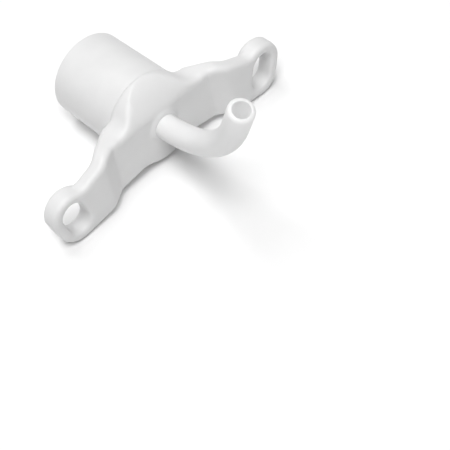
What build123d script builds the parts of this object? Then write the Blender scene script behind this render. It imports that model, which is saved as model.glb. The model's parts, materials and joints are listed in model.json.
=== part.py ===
from build123d import *
import os
from math import asin, atan2, cos, degrees, hypot, radians, sin, sqrt, tan

# Neonatal tracheostomy tube: breathing connector, winged neck flange and curved cannula.
# Working frame: +Y runs along the connector's axis towards the patient, X runs across the wings,
# +Z is up as the tube lies, and the seam between connector and hub is at Y = 0. Sizes in mm.

# Connector: the standard 15 mm male cone
connector_length = 15.0
gauge_diameter = 15.47
gauge_distance = 10.0
cone_taper = 1 / 40
mouth_wall = 1.5
rim_chamfer = 0.4
cup_depth = 9.0
cup_draft = 0.2
boss_wall = 2.3
boss_length = 2.7

# Cannula: size 3.0 neonatal tube, length measured from the front of the hub to the tip,
# with the tip's bevel given as a share of the wall
cannula_bore = 3.0
cannula_diameter = 4.5
cannula_length = 30.0
bend_radius = 20.6
bend_angle = 67.5
socket_depth = 5.0
tip_bevel_share = 2 / 3

# Bonded joints between the three pieces
bond_gap = 0.05

# Hub of the neck flange
hub_lip = 0.15
hub_depth = 4.7
bevel_land = 0.25
foot_height = 2.85
foot_round = 2.0
foot_turn = 30.0
collar_width = 0.7
collar_height = 0.4
collar_chamfer = 0.25

# Wings, in front view: distances from the connector's axis
wing_top = 3.8
shoulder_run = 8.5
shoulder_drop = 3.5
root_low = -5.7
root_blend = 4.5
shoulder_blend = 3.0
neck_blend = 2.5

# Wings, in plan: a flat root, a band swept towards the patient, then a flat end
wing_thickness = 2.9
sweep_x = 10.9
sweep_width = 3.2
sweep_angle = 28.0
root_web = 1.0
inner_bend = 1.2
outer_bend = 3.0

# Eyelets: a long slot for the tape, leaning outwards, with a rim all round and a pad behind
eyelet_x = 21.5
eyelet_z = -3.4
eyelet_lean = 15.5
slot_width = 4.2
slot_height = 7.1
slot_flare = 0.35
eyelet_rim = 1.9
pad_height = 0.7

# Edges of the moulded outline: rounded in front, bevelled behind
edge_round = 1.0
rear_bevel = 0.6

# Values that follow
seam_radius = gauge_diameter / 2 + (connector_length - gauge_distance) * cone_taper / 2
open_radius = gauge_diameter / 2 - gauge_distance * cone_taper / 2
mouth_radius = open_radius - mouth_wall
hub_radius = seam_radius + hub_lip
tube_radius = cannula_diameter / 2
boss_radius = tube_radius + bond_gap + boss_wall
outer_front = hub_depth + sweep_width * tan(radians(sweep_angle))
outer_rear = outer_front - wing_thickness
pad_rear = outer_rear - pad_height
eyelet_radius = slot_width / 2 + eyelet_rim
eyelet_half = (slot_height - slot_width) / 2
eyelet_end_x = eyelet_half * sin(radians(eyelet_lean))
eyelet_end_z = eyelet_half * cos(radians(eyelet_lean))
clear_of_all = 2 * (eyelet_x + slot_height)


def axial_face(points):
    """A face drawn as (distance along the axis, distance from the axis)."""
    return Plane.YZ * make_face(Polyline(*points, close=True))


def axial_rod(radius, length):
    """A round bar along the axis, from the seam towards the patient."""
    return extrude(Plane.XZ * Circle(radius), amount=-length)


def make_connector():
    """Cone outside, cup and funnel inside, and a boss with a socket that takes the cannula's end."""
    socket_radius = tube_radius + bond_gap
    socket_floor = boss_length - socket_depth
    outline = [
        (-connector_length, open_radius),
        (0, seam_radius),
        (0, boss_radius),
        (boss_length, boss_radius),
        (boss_length, socket_radius),
        (socket_floor, socket_radius),
        (socket_floor, cannula_bore / 2),
        (cup_depth - connector_length, mouth_radius - cup_draft),
        (-connector_length, mouth_radius),
    ]
    connector = revolve(axial_face(outline), Axis.Y)
    return chamfer(connector.edges().group_by(Axis.Y)[0], rim_chamfer)


def cannula_path():
    """Straight through the hub, one bend upwards, then a straight end."""
    start = boss_length - socket_depth
    bend_length = bend_radius * radians(bend_angle)
    through = Line((0, start, 0), (0, hub_depth, 0))
    turns = (0, radians(bend_angle / 2), radians(bend_angle))
    bend_points = [(0, hub_depth + bend_radius * sin(t), bend_radius * (1 - cos(t))) for t in turns]
    bend = ThreePointArc(*bend_points)
    straight = Line(bend @ 1, bend @ 1 + (bend % 1) * (cannula_length - bend_length))
    return through + bend + straight


def make_cannula():
    """Tube swept along its path, with the outer edge of the tip bevelled for a smooth entry."""
    path = cannula_path()
    start = Plane(origin=path @ 0, z_dir=path % 0)
    ring = Circle(tube_radius) - Circle(cannula_bore / 2)
    cannula = sweep(start * ring, path=path)
    circles = cannula.edges().filter_by(GeomType.CIRCLE)
    outside = circles.filter_by(lambda e: abs(e.radius - tube_radius) < 1e-6)
    tip_wall = tube_radius - cannula_bore / 2
    return chamfer(outside.sort_by_distance(path @ 1)[0], tip_bevel_share * tip_wall)


def eyelet_shape(grow):
    """Front view of a tape slot, grown by a rim all round."""
    shape = SlotOverall(slot_height + 2 * grow, slot_width + 2 * grow, rotation=90 - eyelet_lean)
    return Pos(eyelet_x, eyelet_z) * shape


def wing_outline():
    """Front view of the flange: hub disc, and wings that slope down to the eyelets."""
    low_x, low_z = eyelet_x - eyelet_end_x, eyelet_z - eyelet_end_z
    rise = low_z - root_low
    reach = hypot(low_x, rise)
    dip = asin(eyelet_radius / reach) - atan2(rise, low_x)
    run = sqrt(reach**2 - eyelet_radius**2)
    low_end = (run * cos(dip), root_low - run * sin(dip))
    shoulder_x = eyelet_x - shoulder_run
    neck = (eyelet_x, wing_top - shoulder_drop)
    corners = [(0, wing_top), (shoulder_x, wing_top), neck, (low_x, low_z), low_end, (0, root_low)]
    wing = make_face(Polyline(*corners, close=True)) + eyelet_shape(eyelet_rim)
    outline = Circle(hub_radius) + wing + mirror(wing, Plane.YZ)

    roots = outline.vertices().filter_by(lambda v: abs(v.X) < hub_radius)
    outline = fillet(roots, root_blend)
    shoulders = outline.vertices().filter_by(lambda v: abs(abs(v.X) - shoulder_x) < 1e-3)
    outline = fillet(shoulders, shoulder_blend)
    above = outline.vertices().filter_by(lambda v: v.Y > eyelet_z + eyelet_end_z)
    necks = above.filter_by(lambda v: shoulder_x + shoulder_blend < abs(v.X) < eyelet_x)
    return fillet(necks, neck_blend)


def wing_plan():
    """Plan of the flange: flat across the hub, swept towards the patient, then flat to the ends."""
    slope = tan(radians(sweep_angle))
    outer_x = sweep_x + sweep_width
    rear_outer_x = outer_x + wing_thickness * tan(radians(sweep_angle / 2))
    rear_root_x = rear_outer_x - outer_rear / slope + root_web
    inner_corners = [(sweep_x, hub_depth), (rear_root_x, 0)]
    outer_corners = [(outer_x, outer_front), (rear_outer_x, outer_rear)]
    rear = [(0, 0), inner_corners[1], outer_corners[1], (clear_of_all, outer_rear)]
    front = [(clear_of_all, outer_front), outer_corners[0], inner_corners[0], (0, hub_depth)]
    half = make_face(Polyline(*rear, *front, close=True))
    for corners, radius in [(inner_corners, inner_bend), (outer_corners, outer_bend)]:
        turns = [half.vertices().sort_by_distance(corner)[0] for corner in corners]
        half = fillet(turns, radius)
    return half + mirror(half, Plane.YZ)


def hub_bevel():
    """What is cut away in front of the hub's upper half: a domed bevel with a soft foot on the front."""
    foot = JernArc((hub_depth, foot_height), (0, 1), foot_round, foot_turn)
    dome = TangentArc(foot @ 1, (bevel_land, hub_radius), tangent=foot % 1)
    far = clear_of_all
    away = Polyline(dome @ 1, (bevel_land, far), (far, far), (far, foot_height), foot @ 0)
    face = make_face([foot, dome, *away.edges()])
    return extrude(Plane.YZ * face, amount=hub_radius, both=True)


def outline_edges(shape, side):
    """Edges round the front (side = 1) or rear (side = -1) of the flange, without its bend lines."""
    faces = shape.faces().filter_by(lambda f: f.normal_at().Y * side > 0.1)
    wanted = faces.edges()
    return shape.edges().filter_by(lambda e: e in wanted) - shape.edges().filter_by(Axis.Z)


def make_pad():
    """Raised pad behind an eyelet, bevelled at its rear edge."""
    pad = extrude(Plane.XZ * eyelet_shape(eyelet_rim), amount=-wing_thickness / 2 - pad_height)
    pad = chamfer(pad.edges().group_by(Axis.Y)[0], rear_bevel)
    return Pos(0, pad_rear, 0) * pad


def slot_cutter():
    """What is cut away for a tape: the slot itself, flared at both of its mouths."""
    wide = Plane.XZ * eyelet_shape(slot_flare)
    through = extrude(Plane.XZ * eyelet_shape(0), amount=clear_of_all, both=True)
    front = Pos(0, outer_front, 0) * extrude(wide, amount=slot_flare, taper=45)
    rear = Pos(0, pad_rear, 0) * extrude(wide, amount=-slot_flare, taper=45)
    return through + front + rear


def make_neck_flange():
    """Soft moulding: hub, wings and eyelets in one, bored for the connector's boss and the cannula."""
    flange = extrude(wing_plan(), amount=clear_of_all, both=True)
    flange &= extrude(Plane.XZ * wing_outline(), amount=clear_of_all, both=True)
    flange = chamfer(outline_edges(flange, -1), rear_bevel)
    flange = fillet(outline_edges(flange, 1), edge_round)

    # The hub keeps a crisp rim at the seam, where it stands just proud of the connector
    flange = flange + axial_rod(hub_radius, hub_depth / 2) - hub_bevel()

    pad, slot = make_pad(), slot_cutter()
    flange = flange + pad + mirror(pad, Plane.YZ)
    flange = flange - slot - mirror(slot, Plane.YZ)

    collar = axial_rod(tube_radius + collar_width, hub_depth + collar_height)
    collar = chamfer(collar.edges().group_by(Axis.Y)[-1], collar_chamfer)
    recess = axial_rod(boss_radius + bond_gap, boss_length + bond_gap)
    hole = axial_rod(tube_radius + bond_gap, clear_of_all)
    return flange + collar - recess - hole


def rest_lean():
    """Lean at which the connector's free rim and both eyelet pads touch the surface together."""
    rim_y, rim_z = rim_chamfer - connector_length, -open_radius - rim_chamfer * cone_taper / 2
    pad_y, pad_z = pad_rear + rear_bevel, eyelet_z - eyelet_end_z - eyelet_radius
    return degrees(atan2(rim_z - pad_z, pad_y - rim_y))


def at_rest(pieces):
    """The pieces as they lie on a surface, with the origin under the middle of the whole."""
    leant = [Rot(X=rest_lean()) * piece for piece in pieces]
    box = Compound(leant).bounding_box()
    shift = Pos(-box.center().X, -box.center().Y, -box.min.Z)
    return [shift * piece for piece in leant]


if __name__ == "__main__":
    os.makedirs("parts", exist_ok=True)
    connector, neck_flange, cannula = at_rest([make_connector(), make_neck_flange(), make_cannula()])
    export_step(connector, "parts/connector.step")
    export_step(neck_flange, "parts/neck_flange.step")
    export_step(cannula, "parts/cannula.step")
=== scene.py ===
"""Looks of a neonatal tracheostomy tube: breathing connector, winged neck flange and curved cannula."""

import json
from math import cos, hypot, radians, sin

import bpy
from bpy.props import FloatProperty, FloatVectorProperty, IntProperty, PointerProperty
from mathutils import Matrix, Vector


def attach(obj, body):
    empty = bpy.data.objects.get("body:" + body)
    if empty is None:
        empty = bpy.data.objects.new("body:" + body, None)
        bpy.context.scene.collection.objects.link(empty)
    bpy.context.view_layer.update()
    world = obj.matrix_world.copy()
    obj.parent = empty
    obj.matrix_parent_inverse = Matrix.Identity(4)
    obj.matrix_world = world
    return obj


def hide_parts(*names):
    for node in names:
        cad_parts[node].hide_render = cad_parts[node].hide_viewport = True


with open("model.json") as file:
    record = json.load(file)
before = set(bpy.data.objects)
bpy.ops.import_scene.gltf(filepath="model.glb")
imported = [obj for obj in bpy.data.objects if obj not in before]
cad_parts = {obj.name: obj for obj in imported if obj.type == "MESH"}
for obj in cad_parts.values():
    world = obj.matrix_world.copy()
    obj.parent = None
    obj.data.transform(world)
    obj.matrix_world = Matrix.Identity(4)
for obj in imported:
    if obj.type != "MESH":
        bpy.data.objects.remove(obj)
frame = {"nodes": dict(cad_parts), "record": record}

bl_info = {
    "name": "Tracheostomy tube",
    "version": (1, 0, 0),
    "blender": (4, 5, 0),
    "location": "3D View > Sidebar > Tube",
    "description": "Models and finishes a neonatal tracheostomy tube over its solids",
    "category": "Object",
}

MM = 0.001

# Directions of the tube as it lies: along the connector, across the wings, and up from both
MOUNTS = {mount["name"]: mount for mount in frame["record"]["mounts"]}
CONE_MIDDLE = Vector(MOUNTS["breathing_cone"]["pos_m"])
AXIS = -Vector(MOUNTS["breathing_cone"]["axis"])
TIP_AXIS = Vector(MOUNTS["cannula_tip_lumen"]["axis"])
ACROSS = Vector((1, 0, 0))
RISE = ACROSS.cross(AXIS)

# Mesh of the pieces
RING_SIDES = 128
TUBE_SIDES = 64
BEND_STEPS = 40
RIM_STEPS = 5
MERGE = 0.001 * MM
ON_RIM = 0.01 * MM
SMOOTH_SHARE = 0.5

# Where the flange is softened more: the ridges and the root as distances from the seam along the
# tube's directions, and the tape slots, which are long and lean outwards, as distances from their middles
RIDGE_ACROSS = (4 * MM, 9.5 * MM)
RIDGE_RISE = (2.5 * MM, 8 * MM)
RIDGE_START = 0.5 * MM
ROOT_REACH = 4 * MM
ROOT_DEPTH = 0.3 * MM
SLOT_LEAN = radians(15.5)
SLOT_HALF = 1.45 * MM
SLOT_REACH = 3.2 * MM

# White vinyl: how light refracts in it, and how its clouds follow the noise that draws them
VINYL_IOR = 1.53
CLOUD_FROM, CLOUD_TO = 0.3, 0.7
CLOUD_SHADE = 0.965
CLOUD_DETAIL = 3.0
GRIT_DETAIL = 2.0

# Stage, in metres; the camera alone sees the floor lifted, so that open paper is white
FLOOR_SIZE = 2.4
FLOOR_LIFT = 0.07
LAMP_DISTANCE = 2.0
LAMP_SIZE = 1.0
FRONT_LAMP = Vector((0.24, 0.24, 0.94))
REAR_LAMP = Vector((0, -0.34, 0.94))
AIM = Vector((3.6 * MM, 16.29 * MM, 0))
SENSOR_MM = 36
NEAR_CLIP = 0.01
WHITE = (1, 1, 1, 1)


def linear(code):
    """An sRGB hex code as linear red, green and blue."""
    values = [int(code[i:i + 2], 16) / 255 for i in (1, 3, 5)]
    return [v / 12.92 if v <= 0.04045 else ((v + 0.055) / 1.055) ** 2.4 for v in values]


def length(name, description, default):
    """A length in metres, shown in the scene's own units."""
    return FloatProperty(name=name, description=description, default=default, unit="LENGTH", precision=5)


def angle(name, description, degrees):
    """An angle, written in degrees."""
    return FloatProperty(name=name, description=description, default=radians(degrees), subtype="ANGLE")


def power(name, description, watts):
    """The power of a lamp in watts."""
    return FloatProperty(name=name, description=description, default=watts, unit="POWER", min=0)


def rounds(name, description, default):
    """A number of rounds of smoothing."""
    return IntProperty(name=name, description=description, default=default, min=0)


def colour(name, description, code):
    """A surface colour, written as sRGB hex."""
    return FloatVectorProperty(
        name=name, description=description, default=linear(code), subtype="COLOR", min=0, max=1)


class ConnectorSettings(bpy.types.PropertyGroup):
    """Sizes and colour of the breathing connector."""
    cone_length: length("Length", "Length of the male cone", 15 * MM)
    free_radius: length("Free radius", "Outside radius at the free end", 7.61 * MM)
    seam_radius: length("Seam radius", "Outside radius at the seam with the hub", 7.7975 * MM)
    mouth_wall: length("Mouth wall", "Wall at the free rim", 1.5 * MM)
    cup_depth: length("Cup depth", "Depth of the straight part of the cup", 9 * MM)
    cup_draft: length("Cup draft", "Narrowing of the cup over its depth", 0.2 * MM)
    bore_radius: length("Bore radius", "Radius where the funnel meets the cannula", 1.5 * MM)
    socket_floor: length("Socket floor", "Distance of the cannula's end behind the seam", 2.3 * MM)
    socket_radius: length("Socket radius", "Radius of the socket for the cannula", 2.3 * MM)
    boss_radius: length("Boss radius", "Outside radius of the boss inside the hub", 4.6 * MM)
    boss_length: length("Boss length", "Length of the boss inside the hub", 2.7 * MM)
    seat: length(
        "Seat", "How far the cone runs on inside the hub, so that no light shows at the seam", 0.4 * MM)
    rim_round: length("Rim rounding", "Rounding of the free rim", 0.4 * MM)
    tint: colour("Colour", "Colour of the rigid moulding", "#E8E8E8")


class FlangeSettings(bpy.types.PropertyGroup):
    """Softness and colour of the neck flange."""
    grain: length("Mesh grain", "Size of the mesh squares on the moulding", 0.19 * MM)
    softening: rounds("Softening", "Rounds of smoothing over the whole moulding", 6)
    ridge_softening: rounds(
        "Ridge softening", "More rounds where the hub's bevel runs out into the wings", 40)
    slot_softening: rounds("Slot softening", "More rounds at the mouths of the tape slots", 30)
    root_softening: rounds("Root softening", "More rounds where the cannula leaves the hub", 8)
    hub_radius: length("Hub radius", "Radius of the hub at the seam", 7.9475 * MM)
    lip: length("Seam lip", "How far the hub's lip feathers out over the connector", 0.4 * MM)
    root_radius: length("Root radius", "Radius of the swell round the cannula's root", 2.65 * MM)
    root_height: length("Root height", "Height of that swell along the cannula", 0.55 * MM)
    bite: length("Bite", "How far the swell and the lip reach into the pieces beside them", 0.4 * MM)
    tint: colour("Colour", "Colour of the soft moulding", "#E5E5E5")


class CannulaSettings(bpy.types.PropertyGroup):
    """Sizes and colour of the cannula."""
    radius: length("Radius", "Outside radius of the tube", 2.25 * MM)
    wall: length("Wall", "Wall of the tube", 0.75 * MM)
    bend_radius: length("Bend radius", "Radius of the bend, to the middle of the tube", 20.6 * MM)
    bend_start: length("Bend start", "Distance of the bend from the seam", 4.7 * MM)
    straight_end: length("Straight end", "Length of the straight end past the bend", 5.7312 * MM)
    tip_round: length("Tip rounding", "Rounding of the tip's outer edge", 0.6 * MM)
    lip_round: length("Lip rounding", "Rounding of the tip's inner edge", 0.12 * MM)
    tint: colour("Colour", "Colour of the extruded tube", "#FBFBFB")


class StageSettings(bpy.types.PropertyGroup):
    """Camera and light."""
    azimuth: angle("Azimuth", "Camera's bearing from +X", 50.87)
    elevation: angle("Elevation", "Camera's height", 53.88)
    roll: angle("Roll", "Camera's turn about its own line of sight", 6.94)
    distance: length("Distance", "Camera to the point that it looks at", 226.64 * MM)
    lens: FloatProperty(name="Lens", description="Focal length of the camera", default=109.55, unit="CAMERA")
    sky_level: FloatProperty(
        name="Sky level", description="Level of the even light from all round", default=0.05, min=0)
    front_power: power("Front lamp", "Power of the lamp on the camera's side", 31.0)
    rear_power: power("Rear lamp", "Power of the lamp on the far side", 15.0)
    floor: colour("Floor", "Colour of the floor", "#F4F4F4")


def add_node(tree, kind, inputs, **settings):
    """Adds a node with its settings; an input is a value, or the socket that feeds it."""
    node = tree.nodes.new(kind)
    for name, value in settings.items():
        setattr(node, name, value)
    for name, value in inputs.items():
        if isinstance(value, bpy.types.NodeSocket):
            tree.links.new(value, node.inputs[name])
        else:
            node.inputs[name].default_value = value
    return node


def new_tree(owner):
    """An empty node tree on a material or a world."""
    owner.use_nodes = True
    owner.node_tree.nodes.clear()
    return owner.node_tree


def white_vinyl(name, tint, roughness, cloud_mm, grit_mm, grit_depth_mm, scatter, depth_mm, through=0.0):
    """White vinyl: clouded tone and gloss, fine grit, light spread under it and light let through."""
    material = bpy.data.materials.new(name)
    tree = new_tree(material)
    place = add_node(tree, "ShaderNodeTexCoord", {}).outputs["Object"]
    clouds = add_node(tree, "ShaderNodeTexNoise", {
        "Vector": place, "Scale": 1 / (cloud_mm * MM), "Detail": CLOUD_DETAIL})
    # Real grit is finer than the render shows, so it is drawn as coarse as it needs to show
    grit = add_node(tree, "ShaderNodeTexNoise", {
        "Vector": place, "Scale": 1 / (grit_mm * MM), "Detail": GRIT_DETAIL})
    gloss = add_node(tree, "ShaderNodeMapRange", {
        "Value": clouds.outputs["Fac"], "From Min": CLOUD_FROM, "From Max": CLOUD_TO,
        "To Min": roughness[0], "To Max": roughness[1]})
    tone = add_node(tree, "ShaderNodeValToRGB", {"Fac": clouds.outputs["Fac"]})
    tone.color_ramp.elements[0].position = CLOUD_FROM
    tone.color_ramp.elements[0].color = [CLOUD_SHADE * v for v in tint] + [1]
    tone.color_ramp.elements[1].position = CLOUD_TO
    tone.color_ramp.elements[1].color = list(tint) + [1]
    bump = add_node(tree, "ShaderNodeBump", {
        "Height": grit.outputs["Fac"], "Strength": 1.0, "Distance": grit_depth_mm * MM})
    shader = add_node(tree, "ShaderNodeBsdfPrincipled", {
        "Base Color": tone.outputs["Color"], "Roughness": gloss.outputs["Result"],
        "Normal": bump.outputs["Normal"], "IOR": VINYL_IOR, "Subsurface Weight": scatter,
        "Subsurface Radius": (1.0, 1.0, 1.0), "Subsurface Scale": depth_mm * MM})
    surface = shader.outputs["BSDF"]
    if through:
        glow = add_node(tree, "ShaderNodeBsdfTranslucent", {"Color": tone.outputs["Color"]})
        both = add_node(tree, "ShaderNodeMixShader", {0: through, 1: surface, 2: glow.outputs["BSDF"]})
        surface = both.outputs["Shader"]
    add_node(tree, "ShaderNodeOutputMaterial", {"Surface": surface})
    return material


def start_clean():
    """Object mode with nothing selected."""
    if bpy.context.object and bpy.context.object.mode != "OBJECT":
        bpy.ops.object.mode_set(mode="OBJECT")
    bpy.ops.object.select_all(action="DESELECT")


def start_ring(name, centre, radius, sides):
    """A round edge loop across the axis, left in edit mode with all of it selected."""
    start_clean()
    turn = Vector((0, 0, 1)).rotation_difference(AXIS).to_euler()
    bpy.ops.mesh.primitive_circle_add(vertices=sides, radius=radius, location=centre, rotation=turn)
    piece = bpy.context.object
    piece.name = piece.data.name = name
    bpy.ops.object.transform_apply(location=True, rotation=True, scale=True)
    bpy.ops.object.mode_set(mode="EDIT")
    bpy.ops.mesh.select_all(action="SELECT")
    return piece


def draw_out(step):
    """Extrudes the selected loop by a step."""
    bpy.ops.mesh.extrude_region_move(TRANSFORM_OT_translate={"value": step})


def close_up():
    """Merges the doubled points of the piece in edit mode and turns its faces outwards."""
    bpy.ops.mesh.select_all(action="SELECT")
    bpy.ops.mesh.remove_doubles(threshold=MERGE)
    bpy.ops.mesh.normals_make_consistent(inside=False)


def turn_ring(name, seam, stations):
    """A closed ring about the axis through (distance from the seam, radius) stations, left in edit mode."""
    place, radius = stations[-1]
    piece = start_ring(name, seam + AXIS * place, radius, RING_SIDES)
    for along, new_radius in stations:
        draw_out(AXIS * (along - place))
        scale = new_radius / radius
        if scale != 1.0:
            bpy.ops.transform.resize(value=(scale, scale, scale), center_override=seam + AXIS * along)
        place, radius = along, new_radius
    close_up()
    return piece


def join_ring(piece, seam, stations):
    """Joins a closed ring about the axis to a piece, which a remesh then fuses with it."""
    turn_ring("taper", seam, stations)
    bpy.ops.object.mode_set(mode="OBJECT")
    piece.select_set(True)
    bpy.context.view_layer.objects.active = piece
    bpy.ops.object.join()


def apply_modifier(piece, kind, **settings):
    """Adds a modifier with its settings and applies it."""
    modifier = piece.modifiers.new(kind.title(), kind)
    for name, value in settings.items():
        setattr(modifier, name, value)
    bpy.ops.object.modifier_apply(modifier=modifier.name)


def round_rim(piece, centre, axis, radius, width):
    """Rounds the edge that runs in a circle round an axis, and stays in edit mode."""
    bpy.ops.mesh.select_mode(type="EDGE")
    bpy.ops.mesh.select_all(action="DESELECT")
    bpy.ops.object.mode_set(mode="OBJECT")
    for edge in piece.data.edges:
        arms = [piece.data.vertices[i].co - centre for i in edge.vertices]
        edge.select = all(abs(a.dot(axis)) < ON_RIM and abs(a.length - radius) < ON_RIM for a in arms)
    bpy.ops.object.mode_set(mode="EDIT")
    if "FINISHED" not in bpy.ops.mesh.bevel(offset=width, segments=RIM_STEPS):
        raise RuntimeError(f"No edge to round on {piece.name}")


def on_ridge(arm):
    """Whether a place, counted from the seam, is where the hub's bevel runs out into a wing."""
    across, rise = abs(arm.dot(ACROSS)), arm.dot(RISE)
    beside = RIDGE_ACROSS[0] < across < RIDGE_ACROSS[1] and RIDGE_RISE[0] < rise < RIDGE_RISE[1]
    return beside and arm.dot(AXIS) > RIDGE_START


def by_root(arm, front):
    """Whether a place, counted from the seam, is where the cannula leaves the front of the hub."""
    along = arm.dot(AXIS)
    return along > front - ROOT_DEPTH and (arm - AXIS * along).length < ROOT_REACH


def by_slot(arm, side):
    """Whether a place, counted from the middle of a tape slot on a side (1 or -1), is at its mouth."""
    out, rise = arm.x * side, arm.dot(RISE)
    along = out * sin(SLOT_LEAN) + rise * cos(SLOT_LEAN)
    aside = out * cos(SLOT_LEAN) - rise * sin(SLOT_LEAN)
    return hypot(max(abs(along) - SLOT_HALF, 0), aside) < SLOT_REACH


def soften(piece, wanted, repeat):
    """Smooths the part of a piece that lies where it is wanted."""
    for vertex in piece.data.vertices:
        vertex.select = wanted(vertex.co)
    bpy.ops.object.mode_set(mode="EDIT")
    bpy.ops.mesh.vertices_smooth(factor=SMOOTH_SHARE, repeat=repeat)
    bpy.ops.mesh.select_all(action="DESELECT")
    bpy.ops.object.mode_set(mode="OBJECT")


def seam_point(scene):
    """Where the axis crosses the seam between connector and hub."""
    return CONE_MIDDLE + AXIS * scene.tube_connector.cone_length / 2


def finish_piece(piece, node, material, smooth_angle):
    """Shading, material and the place of a piece in the frame."""
    bpy.ops.object.shade_smooth_by_angle(angle=smooth_angle)
    piece.data.materials.clear()
    piece.data.materials.append(material)
    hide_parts(node)
    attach(piece, "root")


class TUBE_OT_connector(bpy.types.Operator):
    """Turns the connector ring by ring: cone, free rim, cup, funnel, socket and boss"""
    bl_idname = "tube.connector"
    bl_label = "Connector"

    def execute(self, context):
        size = context.scene.tube_connector
        seam = seam_point(context.scene)
        free_end = seam - AXIS * size.cone_length
        mouth = size.free_radius - size.mouth_wall
        piece = turn_ring("connector_shell", seam, [
            (0, size.seam_radius),
            (-size.cone_length, size.free_radius),
            (-size.cone_length, mouth),
            (size.cup_depth - size.cone_length, mouth - size.cup_draft),
            (-size.socket_floor, size.bore_radius),
            (-size.socket_floor, size.socket_radius),
            (size.boss_length, size.socket_radius),
            (size.boss_length, size.boss_radius),
            (size.seat, size.boss_radius),
            (size.seat, size.seam_radius),
        ])
        round_rim(piece, free_end, AXIS, size.free_radius, size.rim_round)
        round_rim(piece, free_end, AXIS, mouth, size.rim_round)
        bpy.ops.object.mode_set(mode="OBJECT")
        # Rigid moulded vinyl: a polished mould leaves a soft shine with faint clouding
        material = white_vinyl(
            "moulded_rigid_pvc", size.tint, roughness=(0.3, 0.4), cloud_mm=4, grit_mm=0.5,
            grit_depth_mm=0.004, scatter=0.1, depth_mm=0.5)
        finish_piece(piece, "connector", material, radians(30))
        return {"FINISHED"}


class TUBE_OT_neck_flange(bpy.types.Operator):
    """Softens the moulded flange: one even skin with rounded ridges, lips and eyelets"""
    bl_idname = "tube.neck_flange"
    bl_label = "Neck flange"

    def execute(self, context):
        scene = context.scene
        size, cone, tube = scene.tube_flange, scene.tube_connector, scene.tube_cannula
        seam = seam_point(scene)
        start_clean()
        piece = frame["nodes"]["neck_flange"].copy()
        piece.data = piece.data.copy()
        piece.name = piece.data.name = "neck_flange_skin"
        context.collection.objects.link(piece)
        context.view_layer.objects.active = piece
        piece.select_set(True)
        bpy.ops.object.mode_set(mode="EDIT")
        bpy.ops.mesh.select_all(action="SELECT")
        bpy.ops.mesh.remove_doubles(threshold=MERGE)
        bpy.ops.object.mode_set(mode="OBJECT")

        # A swell round the cannula's root and a lip over the seam, both hidden where they bite in
        swell_end, in_tube = tube.bend_start + size.root_height, tube.radius - size.bite
        join_ring(piece, seam, [
            (tube.bend_start, size.root_radius), (swell_end, tube.radius),
            (swell_end, in_tube), (tube.bend_start - size.bite, in_tube)])
        in_cone = cone.seam_radius - size.bite
        join_ring(piece, seam, [
            (0, size.hub_radius), (-size.lip, cone.seam_radius),
            (-size.lip, in_cone), (size.bite, in_cone)])

        apply_modifier(piece, "REMESH", mode="VOXEL", voxel_size=size.grain)
        apply_modifier(piece, "SMOOTH", factor=SMOOTH_SHARE, iterations=size.softening)
        soften(piece, lambda place: on_ridge(place - seam), size.ridge_softening)
        soften(piece, lambda place: by_root(place - seam, tube.bend_start), size.root_softening)
        for name, side in (("tape_slot_left", 1), ("tape_slot_right", -1)):
            centre = Vector(MOUNTS[name]["pos_m"])
            soften(piece, lambda place: by_slot(place - centre, side), size.slot_softening)
        # Soft moulded vinyl: satin, a little light passes under the surface and fills the edges
        material = white_vinyl(
            "moulded_soft_pvc", size.tint, roughness=(0.46, 0.56), cloud_mm=5, grit_mm=0.4,
            grit_depth_mm=0.006, scatter=0.3, depth_mm=1.0)
        finish_piece(piece, "neck_flange", material, radians(60))
        return {"FINISHED"}


class TUBE_OT_cannula(bpy.types.Operator):
    """Draws the cannula from a ring: straight through the hub, round the bend, then to the tip"""
    bl_idname = "tube.cannula"
    bl_label = "Cannula"

    def execute(self, context):
        size = context.scene.tube_cannula
        seam = seam_point(context.scene)
        start = -context.scene.tube_connector.socket_floor
        piece = start_ring("cannula_tube", seam + AXIS * start, size.radius, TUBE_SIDES)
        draw_out(AXIS * (size.bend_start - start))
        bend_centre = seam + AXIS * size.bend_start + RISE * size.bend_radius
        # With no window, spin turns the other way, so its axis is turned round
        bpy.ops.mesh.spin(steps=BEND_STEPS, angle=AXIS.angle(TIP_AXIS), center=bend_centre, axis=-ACROSS)
        draw_out(TIP_AXIS * size.straight_end)
        close_up()
        bpy.ops.object.mode_set(mode="OBJECT")
        apply_modifier(piece, "SOLIDIFY", thickness=size.wall, offset=-1)
        tip = bend_centre - ACROSS.cross(TIP_AXIS) * size.bend_radius + TIP_AXIS * size.straight_end
        bpy.ops.object.mode_set(mode="EDIT")
        round_rim(piece, tip, TIP_AXIS, size.radius, size.tip_round)
        round_rim(piece, tip, TIP_AXIS, size.radius - size.wall, size.lip_round)
        bpy.ops.object.mode_set(mode="OBJECT")
        # Extruded vinyl: drawn smooth, so it shines more, and its thin wall lets light into the bore
        material = white_vinyl(
            "extruded_soft_pvc", size.tint, roughness=(0.29, 0.36), cloud_mm=6, grit_mm=0.8,
            grit_depth_mm=0.003, scatter=0.0, depth_mm=0.5, through=0.35)
        finish_piece(piece, "cannula", material, radians(40))
        return {"FINISHED"}


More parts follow.
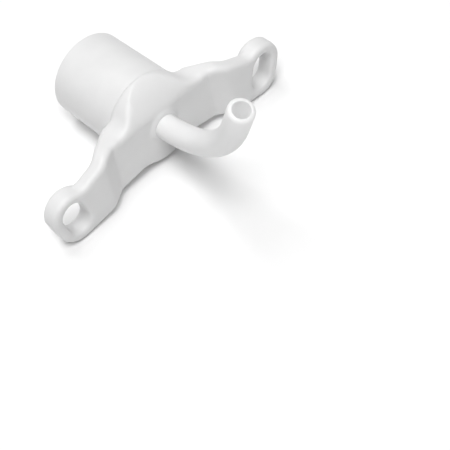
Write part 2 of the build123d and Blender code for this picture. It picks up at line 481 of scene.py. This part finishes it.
def lay_floor(tint):
    """A sheet of white paper under the tube, which keeps the tube's shadow."""
    bpy.ops.mesh.primitive_plane_add(size=FLOOR_SIZE)
    floor = bpy.context.object
    floor.name = "floor"
    # Matt paper: even white with no shine
    paper = bpy.data.materials.new("white_paper")
    tree = new_tree(paper)
    ray = add_node(tree, "ShaderNodeLightPath", {}).outputs["Is Camera Ray"]
    matt = add_node(tree, "ShaderNodeBsdfDiffuse", {"Color": list(tint) + [1]})
    lift = add_node(tree, "ShaderNodeEmission", {"Color": WHITE, "Strength": FLOOR_LIFT})
    both = add_node(tree, "ShaderNodeAddShader", {0: matt.outputs["BSDF"], 1: lift.outputs["Emission"]})
    seen = add_node(tree, "ShaderNodeMixShader", {0: ray, 1: matt.outputs["BSDF"], 2: both.outputs["Shader"]})
    add_node(tree, "ShaderNodeOutputMaterial", {"Surface": seen.outputs["Shader"]})
    floor.data.materials.append(paper)


def light_sky(level):
    """A world that looks white and lights the tube evenly at a level of its own."""
    world = bpy.data.worlds.new("studio")
    bpy.context.scene.world = world
    tree = new_tree(world)
    path = add_node(tree, "ShaderNodeLightPath", {})
    mirrored = add_node(tree, "ShaderNodeMath", {
        0: path.outputs["Is Camera Ray"], 1: path.outputs["Is Glossy Ray"]}, operation="MAXIMUM")
    shown = add_node(tree, "ShaderNodeMath", {
        0: mirrored.outputs[0], 1: path.outputs["Is Transmission Ray"]}, operation="MAXIMUM")
    even = add_node(tree, "ShaderNodeBackground", {"Color": WHITE, "Strength": level})
    white = add_node(tree, "ShaderNodeBackground", {"Color": WHITE, "Strength": 1.0})
    sky = add_node(tree, "ShaderNodeMixShader", {
        0: shown.outputs[0], 1: even.outputs["Background"], 2: white.outputs["Background"]})
    add_node(tree, "ShaderNodeOutputWorld", {"Surface": sky.outputs["Shader"]})


def add_lamp(name, toward, watts):
    """A soft box that shines on the origin from a direction."""
    turn = toward.to_track_quat("Z", "Y").to_euler()
    bpy.ops.object.light_add(type="AREA", location=toward * LAMP_DISTANCE, rotation=turn)
    lamp = bpy.context.object
    lamp.name = name
    lamp.data.size = LAMP_SIZE
    lamp.data.energy = watts


def set_camera(look):
    """The camera at its bearing, height and roll round the point that it looks at."""
    east, north = cos(look.azimuth), sin(look.azimuth)
    out = Vector((east * cos(look.elevation), north * cos(look.elevation), sin(look.elevation)))
    side = Vector((-north, east, 0))
    up = out.cross(side)
    right = side * cos(look.roll) - up * sin(look.roll)
    above = up * cos(look.roll) + side * sin(look.roll)
    bpy.ops.object.camera_add()
    camera = bpy.context.object
    camera.name = "camera"
    camera.data.sensor_width = SENSOR_MM
    camera.data.lens = look.lens
    camera.data.clip_start = NEAR_CLIP
    place = Matrix((right, above, out)).transposed().to_4x4()
    place.translation = AIM + out * look.distance
    camera.matrix_world = place
    bpy.context.scene.camera = camera


class TUBE_OT_stage(bpy.types.Operator):
    """Pale floor, soft studio light and the camera"""
    bl_idname = "tube.stage"
    bl_label = "Stage"

    def execute(self, context):
        look = context.scene.tube_stage
        start_clean()
        lay_floor(look.floor)
        light_sky(look.sky_level)
        add_lamp("front_lamp", FRONT_LAMP, look.front_power)
        add_lamp("rear_lamp", REAR_LAMP, look.rear_power)
        set_camera(look)
        context.scene.view_settings.view_transform = "Standard"
        return {"FINISHED"}


class TUBE_PT_panel(bpy.types.Panel):
    """Settings and steps of the tube"""
    bl_idname = "TUBE_PT_panel"
    bl_label = "Tracheostomy tube"
    bl_space_type = "VIEW_3D"
    bl_region_type = "UI"
    bl_category = "Tube"

    def draw(self, context):
        for name, settings, operator in STEPS:
            box = self.layout.box()
            group = getattr(context.scene, name)
            for prop in settings.__annotations__:
                box.prop(group, prop)
            box.operator(operator.bl_idname)


STEPS = [
    ("tube_connector", ConnectorSettings, TUBE_OT_connector),
    ("tube_flange", FlangeSettings, TUBE_OT_neck_flange),
    ("tube_cannula", CannulaSettings, TUBE_OT_cannula),
    ("tube_stage", StageSettings, TUBE_OT_stage),
]


def register():
    for name, settings, operator in STEPS:
        bpy.utils.register_class(settings)
        bpy.utils.register_class(operator)
        setattr(bpy.types.Scene, name, PointerProperty(type=settings))
    bpy.utils.register_class(TUBE_PT_panel)


def unregister():
    bpy.utils.unregister_class(TUBE_PT_panel)
    for name, settings, operator in reversed(STEPS):
        delattr(bpy.types.Scene, name)
        bpy.utils.unregister_class(operator)
        bpy.utils.unregister_class(settings)


def main():
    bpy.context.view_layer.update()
    register()
    bpy.ops.tube.connector()
    bpy.ops.tube.neck_flange()
    bpy.ops.tube.cannula()
    bpy.ops.tube.stage()


if __name__ == "__main__":
    main()
